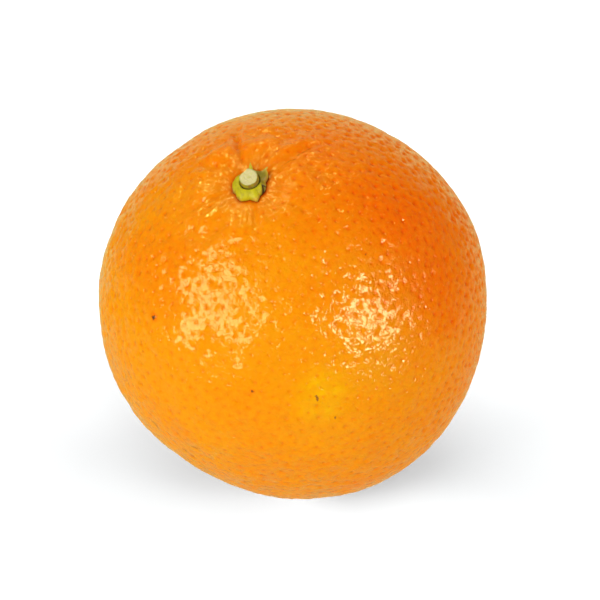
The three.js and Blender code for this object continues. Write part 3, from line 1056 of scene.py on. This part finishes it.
def add_soft_box(box, middle, table):
    """Area lights, one that matt surfaces gather and one that glossy ones mirror, of a power of
    radiance times area times pi."""
    heading = from_front(math.radians(box.azimuth), math.radians(box.elevation))
    for radiance, mirrored in ((box.matt, False), (box.mirrored, True)):
        if not radiance:
            continue
        distance = box.distance + (0 if mirrored else LAMP_GAP)
        light = bpy.data.lights.new(box.name, "AREA")
        light.shape = "RECTANGLE"
        light.size, light.size_y = box.width, box.height
        light.energy = radiance * box.width * box.height * math.pi
        light.color = (1, 1, box.blue if mirrored else 1)
        thing = bpy.data.objects.new(box.name, light)
        thing.visible_glossy, thing.visible_diffuse = mirrored, not mirrored
        thing.visible_camera = False
        face_point(thing, middle + heading * distance, middle)
        if box.table_only:
            receivers = bpy.data.collections.new(box.name)
            receivers.objects.link(table)
            thing.light_linking.receiver_collection = receivers


def add_table(colour):
    """A level square under the fruit."""
    half, under = TABLE_HALF_WIDTH, -TABLE_GAP * MM
    corners = np.array([(-half, -half, under), (half, -half, under),
                        (half, half, under), (-half, half, under)])
    table = make_mesh("table", corners, [[0, 1, 2, 3]], table_material(colour), {})
    table.visible_glossy = table.visible_diffuse = False
    return table


def add_world():
    """Even white light from all round. Glossy surfaces mirror a dark room, a warm table and its
    bright back."""
    scene = bpy.context.scene
    scene.world = bpy.data.worlds.new("studio")
    paint = Paint(scene.world)
    ray = paint.node("LightPath").outputs
    heading = paint.coordinates["Generated"]
    height = paint.node("SeparateXYZ", {0: heading}).outputs["Z"]
    back = paint.vector("DOT_PRODUCT", heading, SKY_BACK_HEADING)["Value"]
    mirrored = paint.blend(SKY_MIRRORED_OVERHEAD,
                           (paint.ramp(height, -0.12, -0.5), SKY_MIRRORED_UNDER),
                           (paint.ramp(back, 0.7, 0.97), SKY_MIRRORED_BACK))
    colour = paint.blend([SKY_LIGHT] * 3,
                         (ray["Is Camera Ray"], [SKY_SHOWN] * 3),
                         (ray["Is Glossy Ray"], mirrored))
    paint.feed(paint.nodes["Background"], {"Color": colour})
    scene.view_settings.view_transform = "Standard"


def add_camera(settings, middle):
    """A long lens that looks down at the fruit from the front."""
    data = bpy.data.cameras.new("camera")
    data.lens, data.sensor_width = settings.camera_lens, 36
    data.clip_start, data.clip_end = 0.01, 20
    camera = bpy.data.objects.new("camera", data)
    back = from_front(0, settings.camera_elevation)
    up = Vector((0, math.sin(settings.camera_elevation), math.cos(settings.camera_elevation)))
    target = middle + Vector((AIM_RIGHT * MM, 0, 0)) + up * (AIM_UP * MM)
    face_point(camera, middle + back * settings.camera_distance, target)
    bpy.context.scene.camera = camera


# ---- Operators, panel and registration ----


class CLEMENTINE_OT_stage(bpy.types.Operator):
    """Add the table, the soft boxes, the surrounding light and the camera"""
    bl_idname = "clementine.stage"
    bl_label = "Stage"

    def execute(self, context):
        settings = context.scene.clementine_stage
        middle = Vector(resting_middle() * MM)
        table = add_table(settings.table_colour)
        for row in SOFT_BOXES:
            add_soft_box(SoftBox(*row), middle, table)
        add_world()
        add_camera(settings, middle)
        return {"FINISHED"}


class CLEMENTINE_OT_rind(bpy.types.Operator):
    """Add the glossy rind with its oil glands, in the place of the plain fruit"""
    bl_idname = "clementine.rind"
    bl_label = "Rind"

    def execute(self, context):
        take_place(build_rind(context.scene.clementine_rind), "fruit")
        return {"FINISHED"}


class CLEMENTINE_OT_calyx(bpy.types.Operator):
    """Add the calyx with its five sepals, in the place of the plain star"""
    bl_idname = "clementine.calyx"
    bl_label = "Calyx"

    def execute(self, context):
        take_place(build_calyx(context.scene.clementine_stem_end), "calyx")
        return {"FINISHED"}


class CLEMENTINE_OT_stub(bpy.types.Operator):
    """Add the clipped stub of stem, in the place of the plain one"""
    bl_idname = "clementine.stub"
    bl_label = "Stem stub"

    def execute(self, context):
        take_place(build_stub(context.scene.clementine_stem_end), "stem_stub")
        return {"FINISHED"}


class CLEMENTINE_PT_panel(bpy.types.Panel):
    """Lists the pieces of the clementine and their settings"""
    bl_label = "Clementine"
    bl_idname = "CLEMENTINE_PT_panel"
    bl_space_type = "VIEW_3D"
    bl_region_type = "UI"
    bl_category = "Clementine"

    def draw(self, context):
        scene = context.scene
        for operator in OPERATORS:
            self.layout.operator(operator.bl_idname)
        for settings in (scene.clementine_rind, scene.clementine_stem_end,
                         scene.clementine_stage):
            box = self.layout.box()
            for label in settings.__annotations__:
                box.prop(settings, label)


OPERATORS = (CLEMENTINE_OT_stage, CLEMENTINE_OT_rind, CLEMENTINE_OT_calyx, CLEMENTINE_OT_stub)
CLASSES = (RindSettings, StemEndSettings, StageSettings, *OPERATORS, CLEMENTINE_PT_panel)


def register():
    for each in CLASSES:
        bpy.utils.register_class(each)
    scene = bpy.types.Scene
    scene.clementine_rind = bpy.props.PointerProperty(type=RindSettings)
    scene.clementine_stem_end = bpy.props.PointerProperty(type=StemEndSettings)
    scene.clementine_stage = bpy.props.PointerProperty(type=StageSettings)


def unregister():
    scene = bpy.types.Scene
    del scene.clementine_rind, scene.clementine_stem_end, scene.clementine_stage
    for each in reversed(CLASSES):
        bpy.utils.unregister_class(each)


def main():
    register()
    bpy.ops.clementine.stage()
    bpy.ops.clementine.rind()
    bpy.ops.clementine.calyx()
    bpy.ops.clementine.stub()


if __name__ == "__main__":
    main()
